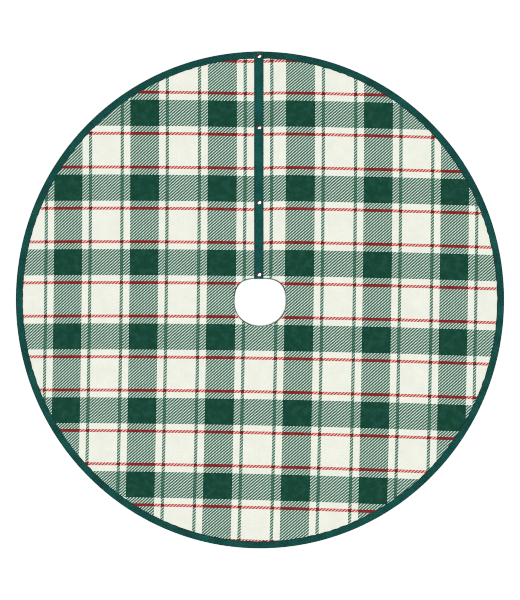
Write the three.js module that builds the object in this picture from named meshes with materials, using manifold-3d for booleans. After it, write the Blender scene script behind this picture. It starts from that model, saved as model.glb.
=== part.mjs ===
// A round woven-plaid tree skirt, 48 in across, laid flat: face cloth and lining bound at the rim and at the
// trunk hole, and a slit that closes with an overlap tape and four ring-spring snaps.
// Millimetres. +Z is up from the floor, +Y runs from the hole along the slit, +X is to the slit's right.
// The origin is on the floor under the middle of the skirt.
import * as THREE from "three";
import { mergeVertices } from "three/addons/utils/BufferGeometryUtils.js";
import Module from "manifold-3d";

const wasm = await Module();
wasm.setup();
const { Manifold, Mesh: SolidMesh } = wasm;

// ---------------------------------------------------------------- driving dimensions
const SKIRT_DEPTH = 1219; // along the slit: the nominal 48 in
const SKIRT_WIDTH = 1198; // across it, where the closed overlap takes up about 21 mm
const HOLE_CENTRE = { x: 0.5, y: -5.6 };
const HOLE_WIDTH = 125;
const HOLE_DEPTH = 115;
const HOLE_SQUARENESS_SLIT_SIDE = 2.9; // superellipse power of the flat-topped half
const HOLE_SQUARENESS_FAR_SIDE = 2.1; // and of the rounder half

const FIT = 0.3; // gap between pieces that touch
const PLY = 0.9; // binding and placket tape, folded double
const HEM_PLY = 0.6; // the finer tape that edges the trunk hole
const LINING = 0.6;
const FACE = 2.0;
const RIM_TAPE_WIDTH = 17.2;
const HEM_WIDTH = 2.6;

const SLIT_X = -3; // centre line of the slit and of its tapes
const PLACKET_WIDTH = 22.4;
const SEAM_MARGIN = 4.2; // of the overlap tape, sewn to the left side's cloth
const UNDER_SEAM = 4.8; // of the underlap tape, sewn under the right side's cloth
const SNAP_PLACES = [600, 425, 241, 64]; // along the slit, from the rim to the hole
const SNAP_X = -2.5;
const SNAP_HOLE_R = 2.3;

const THREAD_WIDTH = 0.8;
const THREAD_HEIGHT = 0.4;
const STITCH_INSET = 3.5; // from a tape's edge to its row of stitches
const RIM_STITCH_INSET = RIM_TAPE_WIDTH - 2.4;
const HOLE_STITCH_INSET = HEM_WIDTH - 1.7;

// ---------------------------------------------------------------- heights, from the floor up
const LINING_Z = PLY + FIT;
const FACE_Z = LINING_Z + LINING + FIT;
const FACE_TOP = FACE_Z + FACE;
const TOP_TAPE_Z = FACE_TOP + FIT;
const TAPE_TOP = TOP_TAPE_Z + PLY;
const UNDERLAP_Z = 1.0;
const HEM_Z = 0.3;
const HEM_TOP = TOP_TAPE_Z + HEM_PLY;
const THREAD_Z = TAPE_TOP + FIT / 2;
const SNAP_FIT = 0.2;

// ---------------------------------------------------------------- where pieces meet and fold
const SLIT_LEFT = SLIT_X - PLACKET_WIDTH / 2;
const SLIT_RIGHT = SLIT_X + PLACKET_WIDTH / 2;
// The overlap tape lifts along FLAP_X, about a line 1 mm above the tapes, and the left side folds over the
// right along CREASE_X, about a line 2.7 mm above them, because thick cloth folds in a soft round bend.
const FLAP_X = SLIT_LEFT + SEAM_MARGIN + FIT / 2;
const CREASE_X = SLIT_RIGHT + FIT;

const FAR = SKIRT_DEPTH; // past every edge
const RIM_STEPS = 144;
const HOLE_STEPS = 72;
const SNAP_STEPS = 20;

// ---------------------------------------------------------------- materials
const cloth = (color) => new THREE.MeshStandardMaterial({ color, roughness: 0.95, metalness: 0 });
const plaid = cloth(0x8ba395);
const ivory = cloth(0xeeeedd);
const greenTape = cloth(0x184c47);
const hemTape = cloth(0x2c4a3f);
const greenThread = cloth(0x0f4640);
const silver = new THREE.MeshStandardMaterial({ color: 0xd8d8d8, roughness: 0.15, metalness: 1 });
const steel = new THREE.MeshStandardMaterial({ color: 0xa8aaac, roughness: 0.3, metalness: 1 });

// ---------------------------------------------------------------- solids
function toSolid(geometry) {
  const bare = geometry.clone();
  bare.deleteAttribute("normal");
  bare.deleteAttribute("uv");
  const merged = mergeVertices(bare, 1e-4);
  return new Manifold(
    new SolidMesh({
      numProp: 3,
      vertProperties: merged.attributes.position.array,
      triVerts: new Uint32Array(merged.index.array),
    }),
  );
}

function toGeometry(solid) {
  const made = solid.getMesh();
  const geometry = new THREE.BufferGeometry();
  geometry.setAttribute("position", new THREE.BufferAttribute(made.vertProperties, 3));
  geometry.setIndex(new THREE.BufferAttribute(made.triVerts, 1));
  return geometry;
}

const skirt = new THREE.Group();

function piece(name, shape, material) {
  const mesh = new THREE.Mesh(shape.isBufferGeometry ? shape : toGeometry(shape), material);
  mesh.name = name;
  skirt.add(mesh);
  return mesh;
}

function block(x0, x1, y0, y1, z0, z1) {
  const box = new THREE.BoxGeometry(x1 - x0, y1 - y0, z1 - z0);
  box.translate((x0 + x1) / 2, (y0 + y1) / 2, (z0 + z1) / 2);
  return toSolid(box);
}

function plate(outline, z0, z1) {
  const geometry = new THREE.ExtrudeGeometry(new THREE.Shape(outline), {
    depth: z1 - z0,
    bevelEnabled: false,
  });
  return toSolid(geometry.translate(0, 0, z0));
}

// The rim, `inset` inside the skirt's edge.
function rim(inset) {
  const points = [];
  for (let i = 0; i < RIM_STEPS; i++) {
    const a = (2 * Math.PI * i) / RIM_STEPS;
    const x = (SKIRT_WIDTH / 2 - inset) * Math.cos(a);
    const y = (SKIRT_DEPTH / 2 - inset) * Math.sin(a);
    points.push(new THREE.Vector2(x, y));
  }
  return points;
}

// The trunk hole, `outset` outside its finished edge: half a superellipse on each side of its middle.
function hole(outset) {
  const points = [];
  for (let i = 0; i < HOLE_STEPS; i++) {
    const a = (2 * Math.PI * i) / HOLE_STEPS;
    const power = 2 / (Math.sin(a) > 0 ? HOLE_SQUARENESS_SLIT_SIDE : HOLE_SQUARENESS_FAR_SIDE);
    const along = (v) => Math.sign(v) * Math.abs(v) ** power;
    const x = HOLE_CENTRE.x + (HOLE_WIDTH / 2 + outset) * along(Math.cos(a));
    const y = HOLE_CENTRE.y + (HOLE_DEPTH / 2 + outset) * along(Math.sin(a));
    points.push(new THREE.Vector2(x, y));
  }
  return points;
}

// The band of cloth between two distances from a finished edge. Each outline is by distance into the cloth.
function band(outline, near, far, z0, z1) {
  const a = plate(outline(near), z0, z1);
  const b = plate(outline(far), z0, z1);
  return a.volume() > b.volume() ? a.subtract(b) : b.subtract(a);
}

// The whole skirt's outline with its trunk hole, `inset` inside both finished edges.
function disc(rimInset, holeInset, z0, z1) {
  return plate(rim(rimInset), z0, z1).subtract(plate(hole(holeInset), z0 - 1, z1 + 1));
}

const slitSide = (x0, x1) => block(x0, x1, HOLE_CENTRE.y, FAR, -1, FAR);
const openSlit = (solid, x0, x1) => solid.subtract(slitSide(x0, x1));

// A strip along the slit, from the hole's edge to the rim.
const alongSlit = (x0, x1, z0, z1) => disc(0, 0, z0, z1).intersect(slitSide(x0, x1));

// Cloth and tape that cross the crease are two pieces, one each side of it.
function splitAtCrease(name, solid, material) {
  const left = block(-FAR, CREASE_X - FIT / 2, -FAR, FAR, -1, FAR);
  const right = block(CREASE_X + FIT / 2, FAR, -FAR, FAR, -1, FAR);
  piece(`${name}_left`, solid.intersect(left), material);
  piece(`${name}_right`, solid.intersect(right), material);
}

// ---------------------------------------------------------------- cloth
const tuckedDisc = (z0, z1) => disc(PLY + FIT, HEM_PLY + FIT, z0, z1);

const face = openSlit(tuckedDisc(FACE_Z, FACE_TOP), SLIT_LEFT + SEAM_MARGIN, CREASE_X);
splitAtCrease("face_panel", face, plaid);

const lining = openSlit(
  tuckedDisc(LINING_Z, LINING_Z + LINING),
  SLIT_LEFT - FIT,
  SLIT_RIGHT + UNDER_SEAM + FIT,
);
splitAtCrease("lining", lining, ivory);

// ---------------------------------------------------------------- edge tapes, folded over both faces
function edgeTape(outline, width, ply, z0, z1) {
  const pocket = band(outline, ply, width + 1, z0 + ply, z1 - ply);
  return openSlit(band(outline, 0, width, z0, z1).subtract(pocket), SLIT_LEFT - FIT, CREASE_X);
}

splitAtCrease("rim_binding", edgeTape(rim, RIM_TAPE_WIDTH, PLY, 0, TAPE_TOP), greenTape);
splitAtCrease("hole_hem", edgeTape(hole, HEM_WIDTH, HEM_PLY, HEM_Z, HEM_TOP), hemTape);

// ---------------------------------------------------------------- the slit's tapes
function snapHoles(solid) {
  return SNAP_PLACES.reduce((left, y) => {
    const drill = new THREE.CylinderGeometry(SNAP_HOLE_R, SNAP_HOLE_R, 20, SNAP_STEPS);
    return left.subtract(toSolid(drill.rotateX(Math.PI / 2).translate(SNAP_X, y, 0)));
  }, solid);
}

piece(
  "overlap_tape_margin",
  alongSlit(SLIT_LEFT, FLAP_X - FIT / 2, TOP_TAPE_Z, TAPE_TOP),
  greenTape,
);
piece(
  "overlap_tape_flap",
  snapHoles(alongSlit(FLAP_X + FIT / 2, SLIT_RIGHT, TOP_TAPE_Z, TAPE_TOP)),
  greenTape,
);

// The underlap tape's free part fills the slit, and its sewn part lies under the right side's cloth.
const underlapTop = UNDERLAP_Z + PLY;
const freePart = alongSlit(SLIT_LEFT, SLIT_RIGHT, UNDERLAP_Z, underlapTop);
const sewnPart = tuckedDisc(UNDERLAP_Z, underlapTop).intersect(
  slitSide(SLIT_RIGHT - 1, SLIT_RIGHT + UNDER_SEAM),
);
piece("underlap_tape", snapHoles(freePart.add(sewnPart)), greenTape);

// ---------------------------------------------------------------- stitching, one thread to a row
function ringThread(outline, inset) {
  const thread = band(outline, inset, inset + THREAD_WIDTH, THREAD_Z, THREAD_Z + THREAD_HEIGHT);
  return openSlit(thread, SLIT_LEFT - FIT, CREASE_X);
}

splitAtCrease("rim_stitching", ringThread(rim, RIM_STITCH_INSET), greenThread);
splitAtCrease("hole_stitching", ringThread(hole, HOLE_STITCH_INSET), greenThread);

function slitThread(x, z) {
  return alongSlit(x - THREAD_WIDTH / 2, x + THREAD_WIDTH / 2, z, z + THREAD_HEIGHT);
}

piece("overlap_seam_stitching", slitThread(SLIT_LEFT + STITCH_INSET, THREAD_Z), greenThread);
piece("overlap_edge_stitching", slitThread(SLIT_RIGHT - STITCH_INSET, THREAD_Z), greenThread);

// Under the underlap tape's sewn part, between the rim binding and the hole's edging.
const underSeam = slitThread(SLIT_RIGHT + UNDER_SEAM / 2 + 1, UNDERLAP_Z - FIT - THREAD_HEIGHT);
const betweenTapes = disc(RIM_TAPE_WIDTH + FIT, HEM_WIDTH + FIT, -1, TAPE_TOP);
piece("underlap_seam_stitching", underSeam.intersect(betweenTapes), greenThread);

// ---------------------------------------------------------------- ring-spring snaps
// Each profile is radius, height; turned about the snap's own axis.
const CAP_R = 6.35;
const CAP_FLANGE = 0.3;
const CAP_Z = TAPE_TOP + CAP_FLANGE + 2 * SNAP_FIT;
const CAP_RISE = 1.4; // of the dome above its rolled edge
const SHANK_R = 1.9;
const SOCKET_TOP = TOP_TAPE_Z - SNAP_FIT;
const STUD_Z = UNDERLAP_Z + PLY + SNAP_FIT;
const POST_TOP = UNDERLAP_Z - SNAP_FIT;

function turned(profile) {
  const points = profile.map(([r, z]) => new THREE.Vector2(r, z));
  return new THREE.LatheGeometry(points, SNAP_STEPS).rotateX(Math.PI / 2);
}

// The domed shell that shows on the overlap tape.
function capGeometry() {
  const profile = [
    [0, CAP_Z],
    [CAP_R, CAP_Z],
  ];
  for (const t of [0, 0.3, 0.6, 0.85]) {
    const r = CAP_R * Math.cos((t * Math.PI) / 2);
    profile.push([r, CAP_Z + 0.3 + CAP_RISE * Math.sin((t * Math.PI) / 2)]);
  }
  profile.push([0, CAP_Z + 0.3 + CAP_RISE]);
  return turned(profile);
}

// The post that the shell is crimped to: a flange on the tape and a shank through it.
function capPostGeometry() {
  return turned([
    [0, TOP_TAPE_Z + SNAP_FIT],
    [SHANK_R, TOP_TAPE_Z + SNAP_FIT],
    [SHANK_R, TAPE_TOP + SNAP_FIT],
    [CAP_R - 1.2, TAPE_TOP + SNAP_FIT],
    [CAP_R - 1.2, TAPE_TOP + SNAP_FIT + CAP_FLANGE],
    [0, TAPE_TOP + SNAP_FIT + CAP_FLANGE],
  ]);
}

// A socket with a mouth below, a groove for the ring spring and a crimped top plate.
function socketGeometry() {
  const bottom = STUD_Z + 0.7;
  return turned([
    [2.8, bottom],
    [4.6, bottom],
    [5.6, bottom + 0.5],
    [5.6, SOCKET_TOP],
    [1.9, SOCKET_TOP],
    [1.9, SOCKET_TOP - 0.4],
    [3.7, SOCKET_TOP - 0.4],
    [3.7, bottom + 0.3],
    [2.8, bottom + 0.3],
    [2.8, bottom],
  ]);
}

// A split ring of spring wire, held sprung open by the stud.
function springGeometry() {
  const wire = 0.5;
  const inner = 2.5;
  const splitAngle = 0.35;
  const ring = new THREE.Shape();
  ring.absarc(0, 0, inner + wire, splitAngle, 2 * Math.PI - splitAngle, false);
  ring.absarc(0, 0, inner, 2 * Math.PI - splitAngle, splitAngle, true);
  const geometry = new THREE.ExtrudeGeometry(ring, {
    depth: wire,
    bevelEnabled: false,
    curveSegments: SNAP_STEPS / 2,
  });
  return geometry.translate(0, 0, STUD_Z + 0.7 + 0.35);
}

// A flanged stud with a necked bulb.
function studGeometry() {
  return turned([
    [0, STUD_Z],
    [4.8, STUD_Z],
    [4.8, STUD_Z + 0.4],
    [1.6, STUD_Z + 0.5],
    [1.6, STUD_Z + 0.8],
    [1.9, STUD_Z + 1.1],
    [1.3, STUD_Z + 1.5],
    [0, STUD_Z + 1.6],
  ]);
}

// A flanged post under the underlap tape, whose shank holds the stud.
function postGeometry() {
  return turned([
    [0, POST_TOP - 0.3],
    [1.9, POST_TOP - 0.3],
    [2.5, POST_TOP - 0.6],
    [5.0, POST_TOP - 0.6],
    [5.25, POST_TOP - 0.3],
    [5.0, POST_TOP],
    [SHANK_R, POST_TOP],
    [SHANK_R, UNDERLAP_Z + PLY - 0.1],
    [0, UNDERLAP_Z + PLY - 0.1],
  ]);
}

SNAP_PLACES.forEach((y, i) => {
  const parts = [
    ["snap_cap", capGeometry(), silver],
    ["snap_cap_post", capPostGeometry(), steel],
    ["snap_socket", socketGeometry(), silver],
    ["snap_spring", springGeometry(), steel],
    ["snap_stud", studGeometry(), silver],
    ["snap_post", postGeometry(), silver],
  ];
  for (const [name, geometry, material] of parts) {
    piece(`${name}_${i + 1}`, geometry, material).position.set(SNAP_X, y, 0);
  }
});

export default skirt;
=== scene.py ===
"""The looks of a round woven-plaid tree skirt, laid flat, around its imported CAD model.

Metres. +Z is up from the floor, +Y runs from the trunk hole along the slit, +X is to the slit's right.
"""

import math

import bpy
import numpy as np
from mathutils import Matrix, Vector


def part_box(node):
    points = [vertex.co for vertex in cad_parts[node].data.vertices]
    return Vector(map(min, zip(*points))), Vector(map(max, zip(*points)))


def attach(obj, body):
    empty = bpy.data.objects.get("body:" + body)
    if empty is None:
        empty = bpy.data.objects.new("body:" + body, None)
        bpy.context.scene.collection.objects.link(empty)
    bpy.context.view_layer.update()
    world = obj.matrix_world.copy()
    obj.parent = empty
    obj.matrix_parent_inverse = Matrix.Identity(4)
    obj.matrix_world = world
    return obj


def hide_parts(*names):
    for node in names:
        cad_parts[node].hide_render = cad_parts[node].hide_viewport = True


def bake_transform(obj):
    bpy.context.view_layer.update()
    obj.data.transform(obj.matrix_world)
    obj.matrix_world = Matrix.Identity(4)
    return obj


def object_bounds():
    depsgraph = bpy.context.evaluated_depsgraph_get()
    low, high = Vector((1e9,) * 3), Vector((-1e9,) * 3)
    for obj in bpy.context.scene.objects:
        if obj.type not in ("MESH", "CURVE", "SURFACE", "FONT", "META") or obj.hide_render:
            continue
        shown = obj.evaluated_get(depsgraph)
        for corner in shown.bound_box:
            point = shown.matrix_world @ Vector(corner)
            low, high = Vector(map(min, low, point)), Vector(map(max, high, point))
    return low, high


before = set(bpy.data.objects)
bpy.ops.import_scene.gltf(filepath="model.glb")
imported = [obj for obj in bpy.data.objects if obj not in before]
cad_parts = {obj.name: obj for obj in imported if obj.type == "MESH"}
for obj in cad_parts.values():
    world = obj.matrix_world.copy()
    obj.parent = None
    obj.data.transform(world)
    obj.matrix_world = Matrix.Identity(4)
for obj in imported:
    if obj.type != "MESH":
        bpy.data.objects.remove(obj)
cad_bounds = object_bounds()
MM = 0.001

# ---------------------------------------------------------------- places, from the frame
skirt_low, skirt_high = cad_bounds
RIM = {"centre": (0.0, 0.0), "half": (skirt_high.x, -skirt_low.y), "powers": (2.0, 2.0)}
HEM_WIDTH = 2.6 * MM
hem_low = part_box("hole_hem_left")[0]
hem_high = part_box("hole_hem_right")[1]
HOLE_CENTRE = ((hem_low.x + hem_high.x) / 2, -5.6 * MM)
hole_half_width = hem_high.x - HOLE_CENTRE[0] - HEM_WIDTH
hole_half_depth = HOLE_CENTRE[1] - hem_low.y - HEM_WIDTH
HOLE = {
    "centre": HOLE_CENTRE,
    "half": (hole_half_width, hole_half_depth),
    "powers": (2.9, 2.1),  # squareness of the slit's side and of the far side
}

SLIT_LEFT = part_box("overlap_tape_margin")[0].x
SLIT_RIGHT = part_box("overlap_tape_flap")[1].x
FLAP_LINE = (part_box("overlap_tape_margin")[1].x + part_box("overlap_tape_flap")[0].x) / 2
CREASE_LINE = (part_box("face_panel_left")[1].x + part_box("face_panel_right")[0].x) / 2
TAPE_SLIT_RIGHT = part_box("rim_binding_right")[0].x
TAPE_SLIT_LEFT = SLIT_LEFT - 0.3 * MM
CLOTH_SLIT_LEFT = SLIT_LEFT + 4.2 * MM
LINING_SLIT_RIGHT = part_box("underlap_tape")[1].x + 0.3 * MM
CREASE_WIDTH = 18 * MM  # of the soft bend, when the skirt is folded in half
CREASE_END = CREASE_LINE - CREASE_WIDTH
FLAP_BEND = 2.35 * MM

FACE_TUCK = RIM["half"][0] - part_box("face_panel_right")[1].x  # of the cloth inside the rim's binding
HOLE_TUCK = 0.9 * MM
RIM_TAPE_WIDTH = 17.2 * MM
TAPE_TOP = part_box("rim_binding_right")[1].z
FACE_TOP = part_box("face_panel_right")[1].z
FACE_THICKNESS = 1.5 * MM
LINING_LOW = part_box("lining_right")[0].z
LINING_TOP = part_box("lining_right")[1].z

# ---------------------------------------------------------------- the woven plaid
WARP_THREAD = 2.015 * MM  # each is a group of yarns that weaves as one
WEFT_THREAD = 1.83 * MM
WARP_SETT = [("green", 35), ("white", 8), ("thin", 4), ("white", 35), ("thin", 4), ("white", 8)]
WEFT_SETT = [("green", 35), ("white", 8), ("red", 4), ("white", 41), ("red", 4), ("white", 8)]
# A narrow panel along the slit's right side is cut from elsewhere in the same plaid. It ends where
# the next wide green stripe starts, which is the sett's first warp thread.
PANEL_WARP = (-30, 0)
PANEL_FROM_WEFT = 65  # and it ends at the trunk hole
PANEL_SHIFT = 32  # in warp threads


# ---------------------------------------------------------------- small mathematics
def smooth(t):
    """A smooth step from 0 to 1."""
    t = np.clip(t, 0.0, 1.0)
    return t * t * (3 - 2 * t)


def ripple(along, wavelength, seed, count=7):
    """Smooth irregular waves about 1 high, of about that wavelength."""
    rng = np.random.default_rng(seed)
    total = np.zeros_like(along, dtype=float)
    for _ in range(count):
        length = wavelength * rng.uniform(0.6, 1.9)
        total += np.sin(2 * np.pi * (along / length + rng.random()))
    return total / math.sqrt(count)


def swell(x, y, wavelength, seed, count=12):
    """Smooth irregular waves over a surface, in every direction."""
    rng = np.random.default_rng(seed)
    total = np.zeros_like(x, dtype=float)
    for _ in range(count):
        length = wavelength * rng.uniform(0.6, 1.9)
        turn = rng.uniform(0, 2 * np.pi)
        across = (x * np.cos(turn) + y * np.sin(turn)) / length
        total += np.sin(2 * np.pi * (across + rng.random()))
    return total / math.sqrt(count)


def travelled(points):
    """Distance along a line of points."""
    steps = np.linalg.norm(np.diff(points, axis=0), axis=1)
    return np.concatenate([[0.0], np.cumsum(steps)])


def evenly(points, pitch):
    """The line again, with points about a pitch apart."""
    along = travelled(points)
    at = np.linspace(0, along[-1], max(2, round(along[-1] / pitch) + 1))
    return np.stack([np.interp(at, along, points[:, k]) for k in range(points.shape[1])], axis=1)


# ---------------------------------------------------------------- round outlines, as columns from hole to rim
def inset_halves(edge, inset):
    """An outline's half width and half depth, moved `inset` into the cloth."""
    grow = -inset if edge is RIM else inset
    return edge["half"][0] + grow, edge["half"][1] + grow


def polar(edge, angle, inset):
    """Points of an outline at these polar angles, `inset` into the cloth from it."""
    power = np.where(np.sin(angle) > 0, *edge["powers"])
    a, b = inset_halves(edge, inset)
    reach = (np.abs(np.cos(angle) / a) ** power + np.abs(np.sin(angle) / b) ** power) ** (-1 / power)
    x = edge["centre"][0] + reach * np.cos(angle)
    y = edge["centre"][1] + reach * np.sin(angle)
    return np.stack([x, y], axis=1)


def crossing(edge, x, side, inset):
    """The polar angle at which an outline crosses x, on the slit's side (1) or on the far side (-1)."""
    power = edge["powers"][0 if side > 0 else 1]
    a, b = inset_halves(edge, inset)
    dx = np.asarray(x, float) - edge["centre"][0]
    dy = side * b * (1 - np.abs(dx / a) ** power) ** (1 / power)
    return np.arctan2(dy, dx)


def columns(edge, inset, slit_right, slit_left, sides, crease):
    """An outline's points, clockwise from the slit's right edge over the crease and back to its left edge.

    `sides` columns are on each side, and `crease` close ones cross the line where the skirt folds in half.
    """
    folded = crossing(edge, np.linspace(CREASE_LINE, CREASE_END, crease + 1), -1, inset)
    start = crossing(edge, slit_right, 1, inset)
    end = crossing(edge, slit_left, 1, inset) - 2 * np.pi
    right = np.linspace(start, folded[0], sides + 1)[:-1]
    left = np.linspace(folded[-1], end, sides + 1)[1:]
    return polar(edge, np.concatenate([right, folded, left]), inset)


# ---------------------------------------------------------------- meshes
def mesh_piece(name, points, faces, material, uv=None, sharp=40):
    """A smooth-shaded closed mesh. `uv` is one pair per point, in metres of flat cloth or thread."""
    mesh = bpy.data.meshes.new(name)
    mesh.from_pydata(np.asarray(points).tolist(), [], [list(map(int, f)) for f in faces])
    if signed_volume(mesh) < 0:
        mesh.flip_normals()
    if uv is not None:
        corner = np.zeros(len(mesh.loops), np.int32)
        mesh.loops.foreach_get("vertex_index", corner)
        layer = mesh.uv_layers.new(name="UVMap")
        layer.data.foreach_set("uv", np.asarray(uv, np.float32)[corner].ravel())
    mesh.materials.append(material)
    mesh.polygons.foreach_set("use_smooth", [True] * len(mesh.polygons))
    mesh.set_sharp_from_angle(angle=math.radians(sharp))
    made = bpy.data.objects.new(name, mesh)
    bpy.context.scene.collection.objects.link(made)
    return made


def signed_volume(mesh):
    """Six times the volume inside a mesh, below 0 where its faces look inwards."""
    mesh.calc_loop_triangles()
    corner = np.zeros(len(mesh.loop_triangles) * 3, np.int32)
    mesh.loop_triangles.foreach_get("vertices", corner)
    place = np.zeros(len(mesh.vertices) * 3)
    mesh.vertices.foreach_get("co", place)
    a, b, c = np.moveaxis(place.reshape(-1, 3)[corner.reshape(-1, 3)], 1, 0)
    return float((a * np.cross(b, c)).sum())


def quads(rings):
    """Quads between neighbouring closed rings of point numbers."""
    ahead = np.roll(rings, -1, axis=1)
    corners = [rings[:-1], ahead[:-1], ahead[1:], rings[1:]]
    return np.stack([corner.ravel() for corner in corners], axis=1)


def two_sided(name, upper, lower, material, uv):
    """A closed sheet between two grids of points, each of which is [column, row]."""
    count, rows = upper.shape[:2]
    ring = np.concatenate([upper, lower[:, ::-1]], axis=1)
    ring_uv = np.concatenate([uv, uv[:, ::-1]], axis=1).reshape(-1, 2)
    number = np.arange(count * rows * 2).reshape(count, rows * 2)
    faces = quads(number).tolist()
    for end, order in ((number[0], -1), (number[-1], 1)):
        top, bottom = end[:rows], end[rows:][::-1]
        faces += [[top[k], top[k + 1], bottom[k + 1], bottom[k]][::order] for k in range(rows - 1)]
    return mesh_piece(name, ring.reshape(-1, 3), faces, material, ring_uv)


def raised(flat, height):
    """Flat points with their height added."""
    return np.concatenate([flat, np.broadcast_to(height, flat.shape[:-1])[..., None]], axis=-1)


def turned(name, node, profile, material, segments=48):
    """A lathe piece that fills a CAD node's box. The profile is (share of radius, share of height)."""
    low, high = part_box(node)
    centre, radius = (low + high) / 2, (high.x - low.x) / 2
    section = np.array(profile) * (radius, high.z - low.z)
    points, rings, uv = [], [], []
    for (reach, rise), travel in zip(section, travelled(section)):
        steps = 1 if reach == 0 else segments
        rings.append(list(range(len(points), len(points) + steps)))
        for i in range(steps):
            turn = 2 * math.pi * i / segments
            x = centre.x + reach * math.cos(turn)
            y = centre.y + reach * math.sin(turn)
            points.append((x, y, low.z + rise))
            uv.append((turn * radius, travel))
    faces = []
    for near, far in zip(rings, rings[1:]):
        for i in range(segments):
            j = (i + 1) % segments
            corners = [near[i % len(near)], near[j % len(near)], far[j % len(far)], far[i % len(far)]]
            faces.append(list(dict.fromkeys(corners)))  # a triangle where a ring is one point
    if rings[0] != rings[-1] and len(rings[0]) > 1:  # a ring-shaped profile closes on itself
        for i in range(segments):
            j = (i + 1) % segments
            faces.append([rings[-1][i], rings[-1][j], rings[0][j], rings[0][i]])
    return mesh_piece(name, points, faces, material, uv, sharp=30)


# ---------------------------------------------------------------- materials
def colour(red, green, blue):
    """A display colour, 0 to 255, as the linear colour that a shader takes."""
    shares = (red / 255, green / 255, blue / 255)
    return tuple(((s + 0.055) / 1.055) ** 2.4 if s > 0.04045 else s / 12.92 for s in shares) + (1.0,)


class Finish:
    """A material's nodes, with arithmetic on their sockets."""

    def __init__(self, name, **uniform):
        self.material = bpy.data.materials.new(name)
        self.material.use_nodes = True
        self.tree = self.material.node_tree
        self.surface = self.tree.nodes["Principled BSDF"]
        for socket, value in uniform.items():
            self.surface.inputs[socket.replace("_", " ")].default_value = value

    def node(self, kind, *values, **settings):
        made = self.tree.nodes.new("ShaderNode" + kind)
        for name, value in settings.items():
            setattr(made, name, value)
        for socket, value in zip(made.inputs, values):
            self.feed(socket, value)
        return made

    def feed(self, socket, value):
        if isinstance(value, bpy.types.NodeSocket):
            self.tree.links.new(value, socket)
        elif value is not None:
            socket.default_value = value

    def math(self, operation, *values):
        return self.node("Math", *values, operation=operation).outputs[0]

    def mix(self, share, a, b, blend="MIX"):
        made = self.node("Mix", data_type="RGBA", blend_type=blend)
        self.feed(made.inputs[0], share)
        self.feed(made.inputs[6], a)
        self.feed(made.inputs[7], b)
        return made.outputs[2]

    def range(self, value, low, high, to_low=0.0, to_high=1.0):
        """A smooth step from one level to another."""
        made = self.node("MapRange", value, low, high, to_low, to_high, interpolation_type="SMOOTHSTEP")
        return made.outputs[0]

    def bands(self, value, stops):
        """Flat bands of colour. `stops` is (where a band starts, its colour) pairs."""
        made = self.node("ValToRGB", value)
        ramp = made.color_ramp
        ramp.interpolation = "CONSTANT"
        while len(ramp.elements) < len(stops):
            ramp.elements.new(1.0)
        for element, (at, shade) in zip(ramp.elements, stops):
            element.position = at
            element.color = shade
        return made.outputs[0]

    def flat_place(self):
        """Where a point is on the flat cloth or thread, in metres: across, along."""
        uv = self.node("UVMap", uv_map="UVMap").outputs[0]
        parts = self.node("SeparateXYZ", uv)
        return uv, parts.outputs[0], parts.outputs[1]

    def noise(self, vector, scale, detail=2.0, rough=0.5):
        made = self.node("TexNoise")
        self.feed(made.inputs["Vector"], vector)
        made.inputs["Scale"].default_value = scale
        made.inputs["Detail"].default_value = detail
        made.inputs["Roughness"].default_value = rough
        return made.outputs["Fac"]

    def stretched(self, across, along, by_across, by_along):
        """Coordinates for a pattern that is longer one way than the other."""
        x = self.math("MULTIPLY", across, by_across)
        y = self.math("MULTIPLY", along, by_along)
        return self.node("CombineXYZ", x, y).outputs[0]

    def bump(self, height, distance, strength=1.0):
        made = self.node("Bump")
        made.inputs["Strength"].default_value = strength
        made.inputs["Distance"].default_value = distance
        self.feed(made.inputs["Height"], height)
        self.tree.links.new(made.outputs[0], self.surface.inputs["Normal"])

    def paint(self, shade):
        self.feed(self.surface.inputs["Base Color"], shade)

    def roughness(self, value):
        self.feed(self.surface.inputs["Roughness"], value)


def sett_bands(sett, shades):
    """A sett's colour bands, as shares of one repeat."""
    total = sum(count for _, count in sett)
    start, stops = 0, []
    for name, count in sett:
        stops.append((start / total, shades[name]))
        start += count
    return stops


def sett_place(finish, thread, sett):
    """A thread's share of the way through its repeat."""
    total = sum(count for _, count in sett)
    turn = finish.math("FLOORED_MODULO", thread, float(total))
    return finish.math("DIVIDE", finish.math("ADD", turn, 0.5), float(total))


def float_shape(finish, across, along):
    """A float's height, 0 to 1, and how near a point is to its sides or ends, from its own coordinates."""
    side = finish.math("ABSOLUTE", finish.math("MULTIPLY_ADD", across, 2.0, -1.0))
    end = finish.math("ABSOLUTE", finish.math("MULTIPLY_ADD", along, 2.0, -1.0))
    round_side = finish.math("SQRT", finish.math("SUBTRACT", 1.0, finish.math("POWER", side, 2.0)))
    round_end = finish.math("SUBTRACT", 1.0, finish.math("POWER", end, 4.0))
    return finish.math("MULTIPLY", round_side, round_end), finish.math("MAXIMUM", side, end)


def crossed_thread(finish, sett, place, crossing_sett, crossing_place):
    """A thread's colour, which takes a cast from the colour of the thread that it crosses: stray fibres carry
    one colour over the other, and painted reflected light does too."""
    none, one = (0.0, 0.0, 0.0, 1.0), (1.0,) * 4
    own, crossed_by = {name for name, _ in sett}, {name for name, _ in crossing_sett}
    shade = finish.bands(place, sett_bands(sett, {name: YARN[name, "white"] for name in own}))
    for crossed in sorted(crossed_by - {"white"}):
        is_crossed = {name: one if name == crossed else none for name in crossed_by}
        share = finish.bands(crossing_place, sett_bands(crossing_sett, is_crossed))
        cast = finish.bands(place, sett_bands(sett, {name: YARN[name, crossed] for name in own}))
        shade = finish.mix(share, shade, cast)
    return shade


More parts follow.
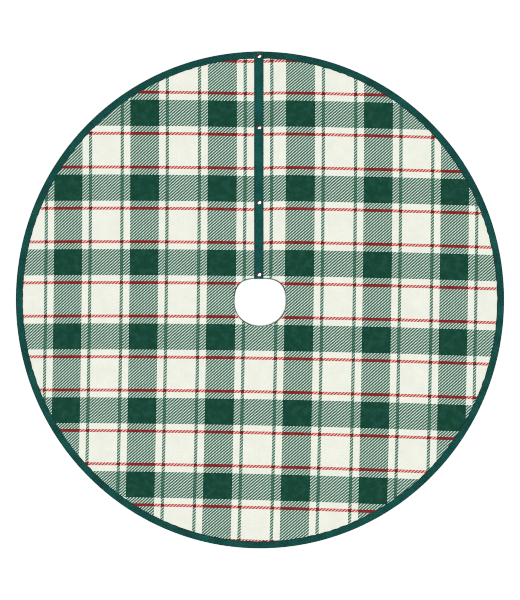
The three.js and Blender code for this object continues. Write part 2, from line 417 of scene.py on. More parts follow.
def slit_panel(finish, x, y):
    """1 on the narrow panel between the slit's right edge and the next wide green stripe, in threads."""
    inside = finish.math("LESS_THAN", x, PANEL_WARP[1])
    inside = finish.math("MULTIPLY", inside, finish.math("GREATER_THAN", x, PANEL_WARP[0]))
    return finish.math("MULTIPLY", inside, finish.math("GREATER_THAN", y, PANEL_FROM_WEFT))


def plaid_cloth():
    """A 2/2 twill of thick soft yarns, in a green, white and red plaid. A float covers two threads, and each
    starts one thread further along than its neighbour's."""
    f = Finish("plaid_cloth", Roughness=0.92, Sheen_Weight=0.07, Sheen_Roughness=0.5)
    f.surface.inputs["Specular IOR Level"].default_value = 0.15
    uv, across, along = f.flat_place()
    x = f.math("DIVIDE", across, WARP_THREAD)
    y = f.math("DIVIDE", along, WEFT_THREAD)
    i, j = f.math("FLOOR", x), f.math("FLOOR", y)
    step = f.math("FLOORED_MODULO", f.math("SUBTRACT", i, j), 4.0)
    warp_up = f.math("LESS_THAN", step, 1.5)

    warp_along = f.math("SUBTRACT", y, f.math("SUBTRACT", i, 1.0))
    warp_along = f.math("DIVIDE", f.math("FLOORED_MODULO", warp_along, 4.0), 2.0)
    weft_along = f.math("SUBTRACT", x, f.math("ADD", j, 2.0))
    weft_along = f.math("DIVIDE", f.math("FLOORED_MODULO", weft_along, 4.0), 2.0)
    warp_high, warp_edge = float_shape(f, f.math("FRACT", x), warp_along)
    weft_high, weft_edge = float_shape(f, f.math("FRACT", y), weft_along)
    pick = {"data_type": "FLOAT"}
    high = f.node("Mix", warp_up, None, weft_high, warp_high, **pick).outputs[0]
    edge = f.node("Mix", warp_up, None, weft_edge, warp_edge, **pick).outputs[0]

    shifted = f.math("SUBTRACT", i, f.math("MULTIPLY", slit_panel(f, x, y), float(PANEL_SHIFT)))
    warp_place, weft_place = sett_place(f, shifted, WARP_SETT), sett_place(f, j, WEFT_SETT)
    warp = crossed_thread(f, WARP_SETT, warp_place, WEFT_SETT, weft_place)
    weft = crossed_thread(f, WEFT_SETT, weft_place, WARP_SETT, warp_place)
    top, under = f.mix(warp_up, weft, warp), f.mix(warp_up, warp, weft)
    # Painted shade: near a float's sides and ends, the colour goes to the darker of the two crossing yarns.
    shadowed = f.mix(1.0, top, under, blend="DARKEN")
    woven = f.mix(f.range(edge, 0.62, 0.90), top, shadowed)

    slub = f.noise(f.stretched(across, along, 900.0, 900.0), 1.0, detail=3.0)
    fade = f.noise(uv, 26.0, detail=4.0, rough=0.6)
    level = f.math("MULTIPLY_ADD", slub, 0.16, 0.91)
    level = f.math("MULTIPLY", level, f.math("MULTIPLY_ADD", fade, 0.16, 0.92))
    # Painted shade: each yarn is darker where its float runs low, between the raised floats.
    level = f.math("MULTIPLY", level, f.math("MULTIPLY_ADD", high, 0.10, 0.92))
    lit = f.mix(1.0, woven, f.node("CombineColor", level, level, level).outputs[0], blend="MULTIPLY")
    bloom = f.range(f.noise(uv, 60.0, detail=3.0, rough=0.65), 0.42, 0.66)
    f.paint(f.mix(bloom, lit, FIBRE_BLOOM, blend="ADD"))
    fibre = f.noise(f.stretched(across, along, 2600.0, 2600.0), 1.0, detail=2.0)
    f.bump(f.math("MULTIPLY_ADD", fibre, 0.25, high), 0.35 * MM, 0.7)
    return f.material


def plain_weave(f, across, along, thread):
    """The height of a fine plain weave."""
    wave = math.pi / thread
    over = f.math("SINE", f.math("MULTIPLY", across, wave))
    under = f.math("SINE", f.math("MULTIPLY", along, wave))
    return f.math("MULTIPLY", over, under)


def lining_cloth():
    """A thin ivory plain weave with a few slubs."""
    f = Finish("lining_cloth", Roughness=0.85, Sheen_Weight=0.1)
    f.surface.inputs["Specular IOR Level"].default_value = 0.25
    uv, across, along = f.flat_place()
    weave = plain_weave(f, across, along, 0.45 * MM)
    slub = f.noise(f.stretched(across, along, 30.0, 900.0), 1.0, detail=3.0)
    fade = f.noise(uv, 9.0, detail=3.0)
    tone = f.math("MULTIPLY_ADD", slub, 0.5, f.math("MULTIPLY", fade, 0.5))
    f.paint(f.mix(f.range(tone, 0.35, 0.65), colour(226, 222, 204), colour(240, 238, 224)))
    f.bump(f.math("MULTIPLY_ADD", slub, 0.6, weave), 0.08 * MM)
    return f.material


def tape_cloth(name, folds, cast=0.0):
    """A firm woven tape. `folds` are the places across it of its folded edges and stitched grooves, with
    painted shade along them.
    """
    f = Finish(name, Roughness=0.8, Sheen_Weight=0.05, Sheen_Roughness=0.4)
    f.surface.inputs["Specular IOR Level"].default_value = 0.15
    uv, along, across = f.flat_place()
    rib = f.math("SINE", f.math("MULTIPLY", along, 2 * math.pi / (1.1 * MM)))
    fine = plain_weave(f, along, across, 0.55 * MM)
    weave = f.math("MULTIPLY_ADD", fine, 0.6, f.math("MULTIPLY", rib, 0.4))
    heather = f.noise(f.stretched(along, across, 260.0, 420.0), 1.0, detail=3.0, rough=0.6)
    fade = f.noise(uv, 24.0, detail=3.0)
    tone = f.math("MULTIPLY_ADD", heather, 0.9, f.math("MULTIPLY_ADD", fade, 0.5, cast - 0.2))
    # Painted shade along the tape's folded edges and in its stitched grooves.
    for fold in folds:
        away = f.math("ABSOLUTE", f.math("SUBTRACT", across, fold))
        tone = f.math("SUBTRACT", tone, f.range(away, 0.4 * MM, 1.4 * MM, 0.16, 0.0))
    f.paint(f.mix(f.range(tone, 0.3, 0.72), TAPE_DARK, TAPE_LIGHT))
    f.roughness(f.math("MULTIPLY_ADD", heather, 0.2, 0.7))
    f.bump(f.math("MULTIPLY_ADD", heather, 0.4, weave), 0.12 * MM)
    return f.material


def thread_finish(name, dark, light, worn, way_round=None):
    """Twisted two-ply sewing thread, paler in stretches where it is worn. `way_round` is the distance round
    an opening of four corners: the thread is darker at the corners."""
    f = Finish(name, Roughness=0.55, Sheen_Weight=0.2)
    uv, along, around = f.flat_place()
    lay = f.math("MULTIPLY", around, 2 * math.pi / (0.8 * MM))
    turn = f.math("MULTIPLY_ADD", along, 2 * math.pi / (1.3 * MM), lay)
    twist = f.math("MULTIPLY_ADD", f.math("SINE", turn), 0.5, 0.5)
    fuzz = f.noise(uv, 3000.0, detail=2.0)
    strand = f.math("MULTIPLY_ADD", fuzz, 0.4, f.math("MULTIPLY", twist, 0.6))
    wear = f.range(f.noise(uv, 45.0, detail=3.0), 0.42, 0.60)
    if way_round:
        corner = f.math("COSINE", f.math("MULTIPLY", along, 4 * 2 * math.pi / way_round))
        wear = f.math("MULTIPLY", f.range(corner, -0.75, 0.0), f.math("MULTIPLY_ADD", wear, 0.5, 0.5))
    f.paint(f.mix(wear, f.mix(strand, dark, light), f.mix(strand, light, worn)))
    f.bump(f.math("MULTIPLY_ADD", fuzz, 0.3, twist), 0.08 * MM)
    return f.material


def metal(name, shade, rough, scratch):
    """Plated metal, with faint polishing marks and a little wear in its gloss."""
    f = Finish(name, Metallic=1.0, Roughness=rough)
    place = f.node("TexCoord").outputs["Object"]
    wear = f.noise(place, 700.0, detail=4.0, rough=0.6)
    marks = f.noise(place, 5000.0, detail=2.0)
    f.paint(f.mix(f.range(wear, 0.3, 0.75), shade, tuple(0.86 * c for c in shade[:3]) + (1.0,)))
    f.roughness(f.math("MULTIPLY_ADD", wear, scratch, rough - scratch / 2))
    f.bump(marks, 0.004 * MM, 0.6)
    return f.material


YARN = {  # each yarn's colour, by the colour that it crosses, with a cast of stray fibres and painted reflected light
    ("white", "white"): colour(226, 228, 216),
    ("white", "green"): colour(217, 236, 220),
    ("white", "red"): colour(226, 216, 205),
    ("green", "green"): colour(6, 62, 46),
    ("green", "white"): colour(58, 93, 79),
    ("green", "red"): colour(112, 20, 22),
    ("thin", "white"): colour(62, 98, 82),
    ("thin", "green"): colour(42, 88, 70),
    ("thin", "red"): colour(112, 6, 14),
    ("white", "thin"): colour(204, 224, 208),
    ("green", "thin"): colour(84, 122, 106),
    ("red", "white"): colour(184, 52, 48),
    ("red", "green"): colour(158, 36, 36),
    ("red", "thin"): colour(140, 10, 18),
}

FIBRE_BLOOM = (0.006, 0.018, 0.015, 1.0)  # stray pale fibres, which show on the dark yarns only
TAPE_DARK, TAPE_LIGHT = colour(0, 50, 45), colour(8, 86, 78)
PLAID = plaid_cloth()
LINING = lining_cloth()
RIM_ROW = RIM_TAPE_WIDTH - 2.4 * MM  # the rim's row of stitches, from the rim
RIM_TAPE = tape_cloth("green_rim_tape", (0.0, RIM_ROW, RIM_TAPE_WIDTH))
SLIT_WIDTH = SLIT_RIGHT - SLIT_LEFT
STITCH_INSET = 3.5 * MM  # of the rows along the slit, from the tape's edges
STRIP_SHADED_LINES = (0.0, STITCH_INSET, SLIT_WIDTH - STITCH_INSET, SLIT_WIDTH)
STRIP_TAPE = tape_cloth("green_strip_tape", STRIP_SHADED_LINES, cast=0.06)
HOLE_ROUND = math.pi * (HOLE["half"][0] + HOLE["half"][1])
HEM_SHADES = (colour(24, 34, 26), colour(66, 92, 78), colour(150, 182, 166))
HEM = thread_finish("hem_thread", *HEM_SHADES, HOLE_ROUND)
THREAD = thread_finish("green_thread", colour(6, 42, 38), colour(30, 84, 76), colour(44, 100, 92))
CHROME = metal("silver_metal", (0.83, 0.84, 0.86, 1.0), 0.12, 0.08)
STEEL = metal("spring_steel", (0.60, 0.61, 0.63, 1.0), 0.3, 0.12)


# ---------------------------------------------------------------- cloth
SIDE_COLUMNS, CREASE_COLUMNS = 170, 20
HALF_SIDE = 0.6  # the distance that the weave's drift is measured against


def flat_cloth(x, y):
    """Where the cloth's own weave puts a point, measured from the sett's start. The weave drifts a little:
    its wefts sag and its warps lean, in millimetres.

    The first `lean` and `sag` lines are a least-squares fit, made outside this script, to the places of the
    green squares in the photograph. The terms after them were set to match it along the slit and at the
    slit's end of the rim.
    """
    a, b = x / HALF_SIDE, y / HALF_SIDE
    lean = -94.9 - 6.8 * a - 7.9 * b - 1.3 * a * b - 2.1 * a**2 + 4.7 * b**2 + 10.4 * a**3
    sag = 92.2 + 7.9 * a - 1.1 * b - 5.3 * a * b + 6.3 * a**2 + 7.0 * a * b**2
    slipped = np.sign(a) * np.exp(-np.abs(a) / 0.3)  # the slit's two sides, along it
    pulled = np.where(a > 0, np.exp(-np.abs(a) / 0.06), 0.0)  # the cloth beside the underlap's seam
    sag = sag + (5.0 * pulled - 2.6 * slipped) * np.clip(3 * b, 0, 1)
    sag = sag + 3.7 * smooth((b - 0.86) / 0.12)  # drawn in under the binding, at the slit's end of the rim
    half_green = 17.5
    across = x + lean * MM + half_green * WARP_THREAD
    along = y + sag * MM + half_green * WEFT_THREAD
    return np.stack([across, along], axis=-1)


def row_places(rows, crowding=0.02):
    """Shares of the way from hole to rim, a little closer together near both edges."""
    t = np.linspace(0, 1, rows)
    return (1 - crowding) * t + crowding * smooth(t)


def cloth_grid(hole_inset, rim_inset, slit_right, slit_left, rows):
    """Columns of points from the hole to the rim, all the way round between the slit's edges."""
    inner = columns(HOLE, hole_inset, slit_right, slit_left, SIDE_COLUMNS, CREASE_COLUMNS)
    outer = columns(RIM, rim_inset, slit_right, slit_left, SIDE_COLUMNS, CREASE_COLUMNS)
    share = row_places(rows)[None, :, None]
    return inner[:, None] + (outer - inner)[:, None] * share


def from_rim(x, y):
    """Distance into the cloth from the rim, near enough."""
    return RIM["half"][0] - np.hypot(x, y * RIM["half"][0] / RIM["half"][1])


def from_hole(x, y):
    """Distance into the cloth from the hole, near enough."""
    return np.hypot(x - HOLE["centre"][0], y - HOLE["centre"][1]) - HOLE["half"][0]


def from_slit(x, y):
    """Distance from the slit's edges, on the slit's side of the hole."""
    beside = np.where(x > 0, x - SLIT_RIGHT, SLIT_LEFT - x)
    return np.where(y > 0, beside, beside + 2 * np.abs(y))


def free_share(x, y, margin):
    """0 where tapes hold the cloth down, 1 away from them."""
    near = np.minimum(from_rim(x, y) - RIM_TAPE_WIDTH, from_hole(x, y) - HEM_WIDTH)
    near = np.minimum(near, np.where(from_slit(x, y) > 0, from_slit(x, y), 0.0))
    return smooth(near / margin)


def face_cloth():
    """The woven face: one soft sheet that dips a little between its bound edges."""
    flat = cloth_grid(HOLE_TUCK, FACE_TUCK, TAPE_SLIT_RIGHT, CLOTH_SLIT_LEFT, rows=112)
    x, y = flat[..., 0], flat[..., 1]
    free = free_share(x, y, 30 * MM)
    relief = 0.32 * swell(x, y, 110 * MM, seed=3) + 0.10 * swell(x, y, 34 * MM, seed=4)
    around = np.arctan2(y, x) * HALF_SIDE
    bound = np.exp(-(((from_rim(x, y) - 24 * MM) / (9 * MM)) ** 2))
    past_tape = smooth((from_rim(x, y) - RIM_TAPE_WIDTH - 0.5 * MM) / (4 * MM))
    pucker = 0.22 * bound * past_tape * ripple(around, 24 * MM, seed=5)
    top = FACE_TOP + MM * np.minimum(free * (relief - 0.55) + pucker, 0.0)
    upper, lower = raised(flat, top), raised(flat, top - FACE_THICKNESS)
    return two_sided("face_cloth", upper, lower, PLAID, flat_cloth(x, y))


def lining_sheet():
    """The thin lining, which wrinkles a little on the floor."""
    flat = cloth_grid(HOLE_TUCK, FACE_TUCK, LINING_SLIT_RIGHT, TAPE_SLIT_LEFT, rows=96)
    x, y = flat[..., 0], flat[..., 1]
    free = free_share(x, y, 40 * MM)
    wrinkle = 0.22 * swell(x, y, 70 * MM, seed=8) + 0.10 * swell(x, y, 26 * MM, seed=9)
    low = LINING_LOW + MM * free * np.clip(wrinkle - 0.45, -0.95, 0.0)
    thickness = LINING_TOP - LINING_LOW - 0.1 * MM
    return two_sided("lining_sheet", raised(flat, low + thickness), raised(flat, low), LINING, flat)


# ---------------------------------------------------------------- edge tapes
EDGE_CREASE = 24  # columns of an edge tape or its stitching across the crease


def swept_tape(name, edge, profile, material, *, thickness, sides, pucker, wavelength, seed):
    """A tape folded over an edge. The profile is (inset, height) pairs of its outer side, from the upper
    inner edge round to the lower one, and its inner side lies `thickness` inside it. `pucker` is how far its
    inner edges wander."""
    profile = np.array(profile)
    tangent = np.gradient(profile, axis=0)
    normal = np.stack([-tangent[:, 1], tangent[:, 0]], axis=1)
    normal /= np.linalg.norm(normal, axis=1)[:, None]
    inner = profile + normal * thickness
    spread = travelled(profile)
    width = profile[:, 0].max()
    layers = []
    for side in (profile, inner):
        insets = side[:, 0]
        outline = [columns(edge, d, TAPE_SLIT_RIGHT, TAPE_SLIT_LEFT, sides, EDGE_CREASE) for d in insets]
        flat = np.stack(outline, axis=1)
        along = travelled(flat[:, 0])
        inward = flat - np.array(edge["centre"])
        inward /= np.linalg.norm(inward, axis=2)[..., None] * (-1 if edge is RIM else 1)
        share = np.clip(insets / width, 0, 1) ** 3
        wave = pucker * ripple(along, wavelength, seed)[:, None] * share[None, :]
        flat = flat + inward * wave[..., None]
        lift = 0.25 * pucker * ripple(along, wavelength, seed + 1)[:, None] * share[None, :]
        upper_side = np.where(side[:, 1] > TAPE_TOP / 2, 1.0, 0.0)[None, :]
        layers.append(raised(flat, side[:, 1][None, :] + np.minimum(lift, 0.0) * upper_side))
    along = travelled(layers[0][:, 0, :2])
    uv = np.stack(np.broadcast_arrays(along[:, None], (width - spread)[None, :]), axis=-1)
    return two_sided(name, layers[0], layers[1], material, uv)


def folded(upper):
    """A profile in metres from its upper half in millimetres: the lower half mirrors it."""
    height = 5.3
    full = upper + [(0.0, height / 2)] + [(d, height - z) for d, z in reversed(upper)]
    return [(d * MM, z * MM) for d, z in full]


def rim_profile():
    """The rim binding's outer side: a groove under its stitches, and a soft fold round the cloth."""
    upper = [
        (17.2, 4.55),
        (17.25, 4.85),
        (17.0, 5.1),
        (16.3, 5.22),
        (15.4, 5.2),
        (14.8, 5.02),
        (14.2, 5.18),
        (13.0, 5.27),
        (10.0, 5.28),
        (6.0, 5.24),
        (3.6, 5.1),
        (2.0, 4.8),
        (0.9, 4.2),
        (0.25, 3.4),
    ]
    return folded(upper)


def hem_profile():
    """The narrow edging of the trunk hole: a tight roll of overlocking thread."""
    upper = [(2.5, 4.45), (2.6, 4.7), (2.3, 4.95), (1.7, 5.0), (1.0, 4.85), (0.4, 4.4), (0.1, 3.6)]
    return folded(upper)


def rim_binding():
    wander = {"pucker": 0.5 * MM, "wavelength": 26 * MM, "seed": 20}
    size = {"thickness": 0.6 * MM, "sides": 460}
    return swept_tape("rim_binding_tape", RIM, rim_profile(), RIM_TAPE, **size, **wander)


def hole_hem():
    wander = {"pucker": 0.15 * MM, "wavelength": 9 * MM, "seed": 30}
    size = {"thickness": 0.35 * MM, "sides": 320}
    return swept_tape("hole_hem_edging", HOLE, hem_profile(), HEM, **size, **wander)


# ---------------------------------------------------------------- the slit's tapes
def strip_ends(x, inset=0.0):
    """Where a strip along the slit starts, at the hole's edge, and ends, at the rim's."""
    start = polar(HOLE, crossing(HOLE, x, 1, inset), inset)[:, 1]
    end = polar(RIM, crossing(RIM, x, 1, inset), inset)[:, 1]
    return start, end


def slit_strip(name, x, upper_z, lower_z, start, end, wave, seed):
    """A tape along the slit. `x`, both heights, start and end are per column across it."""
    share = np.linspace(0, 1, 150)
    y = start[:, None] + (end - start)[:, None] * share
    edge = np.abs(2 * (x - x.mean()) / np.ptp(x)) ** 4 * np.sign(x - x.mean())
    sway = wave * ripple(y, 42 * MM, seed) * edge[:, None] * np.where(x > 0, 1.0, 0.0)[:, None]
    flat = np.stack([np.broadcast_to(x[:, None], y.shape) + sway, y], axis=-1)
    lift = 0.10 * MM * np.minimum(ripple(y, 30 * MM, seed + 1), 0.0)
    upper, lower = raised(flat, upper_z[:, None] + lift), raised(flat, lower_z[:, None] + lift)
    uv = np.stack([y, np.broadcast_to((x - x.min())[:, None], y.shape)], axis=-1)
    return two_sided(name, upper, lower, STRIP_TAPE, uv)


def rounded_strip(x, low, high, edge_left, edge_right, grooves=()):
    """Upper and lower heights of a strip with soft edges, and shallow grooves where it is stitched."""
    inset = np.minimum(x - edge_left, edge_right - x)
    soft = np.clip(inset / (0.45 * MM), 0, 1)
    half = (high - low) / 2 * np.sqrt(np.clip(1 - (1 - soft) ** 2, 0, 1))
    half = np.maximum(half, 0.06 * MM)
    middle = (high + low) / 2
    groove = sum(0.16 * MM * np.exp(-(((x - g) / (0.55 * MM)) ** 2)) for g in grooves)
    return middle + half - groove, middle - half


def overlap_tape():
    """The overlap tape: sewn down along its left side, and not sewn along the rest."""
    bend = np.linspace(FLAP_LINE, FLAP_LINE + FLAP_BEND, 9)
    left_edge = SLIT_LEFT + np.array([0, 0.1, 0.25, 0.5, 1.2, 2.4, 3.0, 3.4, 3.7]) * MM
    right_part = np.linspace(FLAP_LINE + FLAP_BEND + 0.6 * MM, SLIT_RIGHT - 5.2 * MM, 12)
    right_edge = SLIT_RIGHT - np.array([4.6, 4.0, 3.7, 3.5, 3.2, 2.8, 2.0, 1.2, 0.5, 0.25, 0.1, 0]) * MM
    x = np.concatenate([left_edge, bend, right_part, right_edge])
    low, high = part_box("overlap_tape_flap")[0].z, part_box("overlap_tape_flap")[1].z
    grooves = (SLIT_LEFT + STITCH_INSET, SLIT_RIGHT - STITCH_INSET)
    upper, lower = rounded_strip(x, low, high, SLIT_LEFT, SLIT_RIGHT, grooves)
    start, end = strip_ends(x)
    return slit_strip("overlap_tape", x, upper, lower, start, end, 0.25 * MM, seed=40)


def underlap_tape():
    """The underlap tape: it fills the slit from below, and its right side is sewn under the cloth."""
    low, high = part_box("underlap_tape")
    left_edge = low.x + np.array([0, 0.1, 0.25, 0.5, 1.2, 2.4, 3.5, 4.6]) * MM
    middle = np.linspace(low.x + 6 * MM, SLIT_RIGHT, 12)
    sewn = np.linspace(SLIT_RIGHT + 0.35 * MM, high.x - 0.5 * MM, 6)
    right_edge = high.x - np.array([0.25, 0.1, 0]) * MM
    x = np.concatenate([left_edge, middle, sewn, right_edge])
    upper, lower = rounded_strip(x, low.z, high.z, low.x, high.x)
    start, end = strip_ends(x)
    tucked_start, tucked_end = strip_ends(x, FACE_TUCK)
    tucked = x > SLIT_RIGHT + 0.1 * MM
    start, end = np.where(tucked, tucked_start, start), np.where(tucked, tucked_end, end)
    return slit_strip("underlap_tape_strip", x, upper, lower, start, end, 0.0, seed=50)


# ---------------------------------------------------------------- stitches
STITCH_PITCH = 3.3 * MM
STITCH_LENGTH = 2.7 * MM
STITCH_SHARES = np.array([0.0, 0.08, 0.25, 0.5, 0.75, 0.92, 1.0])
STITCH_SIDES = 6


def stitch_row(name, line, height, width, arch, below=False):
    """One thread's visible stitches along a line of points: each goes down into the tape at both ends."""
    centres = evenly(line, STITCH_PITCH)
    centres = (centres[1:] + centres[:-1]) / 2
    ahead = np.gradient(centres, axis=0)
    ahead /= np.linalg.norm(ahead, axis=1)[:, None]
    side = np.stack([-ahead[:, 1], ahead[:, 0]], axis=1)
    bulge = np.sqrt(np.sin(np.pi * STITCH_SHARES))
    radius = width / 2 * np.maximum(bulge, 0.05)
    rise = arch * bulge * (-1 if below else 1)
    turn = 2 * np.pi * np.arange(STITCH_SIDES) / STITCH_SIDES
    along = ((STITCH_SHARES - 0.5) * STITCH_LENGTH)[None, :, None, None]
    out = (radius[:, None] * np.cos(turn))[None, :, :, None]
    flat = centres[:, None, None] + ahead[:, None, None] * along + side[:, None, None] * out
    z = height + rise[:, None] + radius[:, None] * np.sin(turn)
    points = raised(flat, np.broadcast_to(z, flat.shape[:3]))
    rings = len(STITCH_SHARES)
    number = np.arange(rings * STITCH_SIDES).reshape(rings, STITCH_SIDES)
    sides = quads(number)
    per = rings * STITCH_SIDES
    faces = []
    for k in range(len(centres)):
        faces += (sides + k * per).tolist()
        faces += [(number[0][::-1] + k * per).tolist(), (number[-1] + k * per).tolist()]
    length = np.broadcast_to((STITCH_SHARES * STITCH_LENGTH)[None, :, None], points.shape[:3])
    around = np.broadcast_to((turn * width / 2)[None, None, :], points.shape[:3])
    start = (np.arange(len(centres)) * STITCH_PITCH)[:, None, None]
    uv = np.stack([length + start, around], axis=-1)
    return mesh_piece(name, points.reshape(-1, 3), faces, THREAD, uv.reshape(-1, 2), sharp=80)


def ring_line(edge, inset, sides=400):
    """A line of stitching round an edge, a little short of both slit edges."""
    short = 0.8 * MM
    return columns(edge, inset, TAPE_SLIT_RIGHT + short, TAPE_SLIT_LEFT - short, sides, EDGE_CREASE)


def slit_line(x, inset=1.2 * MM):
    """A line of stitching along the slit."""
    start, end = strip_ends(np.array([x]), inset)
    return np.stack([np.full(200, x), np.linspace(start[0], end[0], 200)], axis=1)


# ---------------------------------------------------------------- snaps
# Each half section is (share of radius, share of height) pairs.
CAP_PROFILE = [(0.0, 0.0), (0.86, 0.0), (0.93, 0.02), (0.985, 0.08), (1.0, 0.16), (0.99, 0.25)]
CAP_PROFILE += [(0.955, 0.32), (0.93, 0.36), (0.90, 0.45)]
CAP_PROFILE += [(0.90 * math.cos(t), 0.45 + 0.55 * math.sin(t)) for t in np.linspace(0.12, 1.45, 12)]
CAP_PROFILE += [(0.0, 1.0)]
CAP_POST_PROFILE = [(0, 0), (0.36, 0), (0.37, 0.05), (0.37, 0.72), (0.42, 0.75), (0.97, 0.75)]
CAP_POST_PROFILE += [(1, 0.8), (1, 0.95), (0.97, 1.0), (0.0, 1.0)]
SOCKET_PROFILE = [(0.50, 0.0), (0.52, 0.02), (0.80, 0.0), (0.84, 0.06), (0.97, 0.30), (1.0, 0.40)]
SOCKET_PROFILE += [(1.0, 0.93), (0.98, 1.0), (0.36, 1.0), (0.34, 0.97), (0.34, 0.74), (0.36, 0.71)]
SOCKET_PROFILE += [(0.64, 0.71), (0.66, 0.68), (0.66, 0.25), (0.64, 0.21), (0.52, 0.21), (0.50, 0.17)]
STUD_PROFILE = [(0.0, 0.0), (0.97, 0.0), (1.0, 0.06), (1.0, 0.20), (0.97, 0.25), (0.50, 0.27)]
STUD_PROFILE += [(0.36, 0.31), (0.33, 0.38), (0.33, 0.50), (0.37, 0.58), (0.395, 0.68), (0.385, 0.78)]
STUD_PROFILE += [(0.33, 0.88), (0.24, 0.95), (0.12, 0.99), (0.0, 1.0)]
POST_PROFILE = [(0, 0.20), (0.34, 0.20), (0.37, 0.17), (0.46, 0.03), (0.50, 0.0), (0.93, 0.0)]
POST_PROFILE += [(0.98, 0.06), (1.0, 0.18), (0.98, 0.32), (0.94, 0.37), (0.37, 0.38), (0.36, 0.42)]
POST_PROFILE += [(0.36, 0.97), (0.33, 1.0), (0.0, 1.0)]


def ring_spring(name, node):
    """A split ring of round spring wire, which the stud holds open."""
    low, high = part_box(node)
    centre, wire = (low + high) / 2, (high.z - low.z) / 2
    radius = (high.y - low.y) / 2 - wire
    split = 0.35  # half the gap's angle, in radians
    rings, sides = 56, 12
    turn = np.linspace(split, 2 * np.pi - split, rings)[:, None]
    around = (2 * np.pi * np.arange(sides) / sides)[None, :]
    reach = radius + wire * np.cos(around)
    place = centre.x + reach * np.cos(turn), centre.y + reach * np.sin(turn), centre.z + wire * np.sin(around)
    points = np.stack(np.broadcast_arrays(*place), axis=-1)
    number = np.arange(rings * sides).reshape(rings, sides)
    faces = quads(number).tolist() + [number[0][::-1].tolist(), number[-1].tolist()]
    uv = np.stack(np.broadcast_arrays(turn * radius, around * wire), axis=-1)
    return mesh_piece(name, points.reshape(-1, 3), faces, STEEL, uv.reshape(-1, 2), sharp=60)


def snap(i):
    """One ring-spring snap's six pieces. The cap, its post, the socket and the spring are on the overlap."""
    parts = [
        ("cap", CAP_PROFILE, CHROME, "silver_metal", "overlap_flap"),
        ("cap_post", CAP_POST_PROFILE, STEEL, "spring_steel", "overlap_flap"),
        ("socket", SOCKET_PROFILE, CHROME, "silver_metal", "overlap_flap"),
        ("spring", None, STEEL, "spring_steel", "overlap_flap"),
        ("stud", STUD_PROFILE, CHROME, "silver_metal", "right_side"),
        ("post", POST_PROFILE, CHROME, "silver_metal", "right_side"),
    ]
    for part, profile, material, slot, body in parts:
        node, name = f"snap_{part}_{i}", f"ring_snap_{part}_{i}"
        made = turned(name, node, profile, material) if profile else ring_spring(name, node)
        settle(made, slot, [node], body)


# ---------------------------------------------------------------- putting pieces in place
ACROSS_CREASE = ("right_side", "left_side")


def settle(made, slot, nodes, *bodies):
    """Rides on one body, or stays put with its placing baked in when it spans two, and stands for these CAD
    nodes.
    """
    if nodes:
        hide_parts(*nodes)
    if len(bodies) == 1:
        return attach(made, bodies[0])
    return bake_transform(made)


def both_sides(name):
    return [f"{name}_left", f"{name}_right"]


face = settle(face_cloth(), "plaid_cloth", both_sides("face_panel"), *ACROSS_CREASE)
lining = settle(lining_sheet(), "lining_cloth", both_sides("lining"), *ACROSS_CREASE)
binding = settle(rim_binding(), "green_tape", both_sides("rim_binding"), *ACROSS_CREASE)
hem = settle(hole_hem(), "hem_tape", both_sides("hole_hem"), *ACROSS_CREASE)

overlap_nodes = ["overlap_tape_margin", "overlap_tape_flap"]
overlap = settle(overlap_tape(), "green_tape", overlap_nodes, "left_side", "overlap_flap")
underlap = settle(underlap_tape(), "green_tape", ["underlap_tape"], "right_side")

THREAD_WIDTH, FINE_THREAD = 0.62 * MM, 0.5 * MM
SEWN_HEIGHT = TAPE_TOP - 0.20 * MM
HOLE_ROW = 1.5 * MM
rim_row = stitch_row("rim_stitches", ring_line(RIM, RIM_ROW), SEWN_HEIGHT, THREAD_WIDTH, 0.12 * MM)
rim_row = settle(rim_row, "green_thread", both_sides("rim_stitching"), *ACROSS_CREASE)
under_row = stitch_row("rim_under_stitches", ring_line(RIM, RIM_ROW), 0.36 * MM, FINE_THREAD, 0.08 * MM, True)
under_row = settle(under_row, "green_thread", [], *ACROSS_CREASE)
hole_row = stitch_row("hole_stitches", ring_line(HOLE, HOLE_ROW), TAPE_TOP - 0.35 * MM, FINE_THREAD, 0.1 * MM)
hole_row = settle(hole_row, "green_thread", both_sides("hole_stitching"), *ACROSS_CREASE)

seam_line = slit_line(SLIT_LEFT + STITCH_INSET)
seam_row = stitch_row("overlap_seam_stitches", seam_line, SEWN_HEIGHT, THREAD_WIDTH, 0.12 * MM)
seam_row = settle(seam_row, "green_thread", ["overlap_seam_stitching"], "left_side")
edge_line = slit_line(SLIT_RIGHT - STITCH_INSET)
edge_row = stitch_row("overlap_edge_stitches", edge_line, SEWN_HEIGHT, THREAD_WIDTH, 0.12 * MM)
edge_row = settle(edge_row, "green_thread", ["overlap_edge_stitching"], "overlap_flap")
under_seam_low, under_seam_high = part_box("underlap_seam_stitching")
under_seam_line = slit_line((under_seam_low.x + under_seam_high.x) / 2, RIM_TAPE_WIDTH)
under_seam = stitch_row("underlap_seam_stitches", under_seam_line, 0.85 * MM, FINE_THREAD, 0.15 * MM, True)
under_seam = settle(under_seam, "green_thread", ["underlap_seam_stitching"], "right_side")

for snap_number in range(1, 5):
    snap(snap_number)


# ---------------------------------------------------------------- stage, light and camera
def floor():
    """A plain white studio sweep under the skirt."""
    f = Finish("studio_white", Roughness=0.9)
    f.surface.inputs["Specular IOR Level"].default_value = 0.1
    grain = f.noise(f.node("TexCoord").outputs["Object"], 3.0, detail=3.0)
    f.paint(f.mix(grain, (0.955, 0.955, 0.955, 1.0), (0.965, 0.965, 0.965, 1.0)))
    side = 14.0
    mesh = bpy.data.meshes.new("floor")
    corners = [(-side, -side, 0), (side, -side, 0), (side, side, 0), (-side, side, 0)]
    mesh.from_pydata(corners, [], [(0, 1, 2, 3)])
    mesh.materials.append(f.material)
    made = bpy.data.objects.new("floor", mesh)
    bpy.context.scene.collection.objects.link(made)


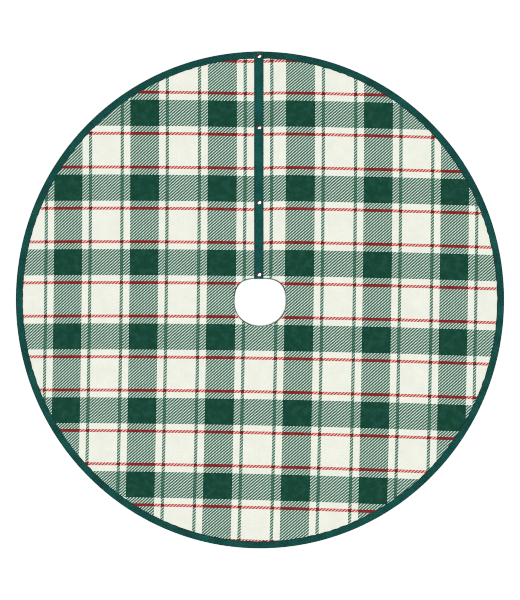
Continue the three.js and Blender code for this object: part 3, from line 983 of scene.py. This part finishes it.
def studio_light():
    """White all round, with a soft sun. Only reflections see a dim room with one bright side, as polished
    metal does in a studio."""
    world = bpy.data.worlds.new("studio")
    bpy.context.scene.world = world
    world.use_nodes = True
    tree = world.node_tree
    white = (1.0, 1.0, 1.0, 1.0)
    output = tree.nodes["World Output"]
    reflected = tree.nodes["Background"]
    ambient = tree.nodes.new("ShaderNodeBackground")
    ambient.inputs[0].default_value = white
    ambient.inputs[1].default_value = 0.67
    backdrop = tree.nodes.new("ShaderNodeBackground")
    backdrop.inputs[0].default_value = white
    ray = tree.nodes.new("ShaderNodeLightPath")
    shown = ambient.outputs[0]
    for kind, source in (("Is Glossy Ray", reflected), ("Is Camera Ray", backdrop)):
        blend = tree.nodes.new("ShaderNodeMixShader")
        tree.links.new(ray.outputs[kind], blend.inputs[0])
        tree.links.new(shown, blend.inputs[1])
        tree.links.new(source.outputs[0], blend.inputs[2])
        shown = blend.outputs[0]
    tree.links.new(shown, output.inputs[0])
    place = tree.nodes.new("ShaderNodeTexCoord").outputs["Generated"]
    toward = tree.nodes.new("ShaderNodeVectorMath")
    toward.operation = "DOT_PRODUCT"
    toward.inputs[1].default_value = Vector((0.35, -0.85, 0.40)).normalized()
    tree.links.new(place, toward.inputs[0])
    ramp = tree.nodes.new("ShaderNodeValToRGB")
    dim, bright = ramp.color_ramp.elements
    dim.position, dim.color = 0.66, (0.07, 0.05, 0.04, 1.0)
    bright.position, bright.color = 0.92, (0.80, 0.80, 0.81, 1.0)
    share = tree.nodes.new("ShaderNodeMath")  # from -1 to 1, to 0 to 1
    share.operation = "MULTIPLY_ADD"
    share.inputs[1].default_value = 0.5
    share.inputs[2].default_value = 0.5
    tree.links.new(toward.outputs["Value"], share.inputs[0])
    tree.links.new(share.outputs[0], ramp.inputs[0])
    tree.links.new(ramp.outputs[0], reflected.inputs[0])

    sun = bpy.data.lights.new("soft_sun", "SUN")
    sun.energy = 1.75
    sun.angle = math.radians(36)
    lamp = bpy.data.objects.new("soft_sun", sun)
    lamp.rotation_mode = "QUATERNION"
    lamp.rotation_quaternion = Vector((-0.22, 0.26, -1.0)).to_track_quat("-Z", "Y")
    bpy.context.scene.collection.objects.link(lamp)


def camera():
    """Straight above the skirt, far enough away for little perspective."""
    height = 4.0
    seen_depth = 1.4736
    sensor = 36.0
    made = bpy.data.cameras.new("camera")
    made.sensor_width = sensor
    made.lens = sensor * height / seen_depth
    made.clip_end = 50.0
    holder = bpy.data.objects.new("camera", made)
    holder.location = (0.0, 0.0, height)
    bpy.context.scene.collection.objects.link(holder)
    bpy.context.scene.camera = holder


floor()
studio_light()
camera()
bpy.context.scene.view_settings.view_transform = "Standard"
bpy.context.scene.view_settings.look = "None"
bpy.context.scene.cycles.filter_width = 1.0
bpy.context.scene.cycles.use_denoising = False
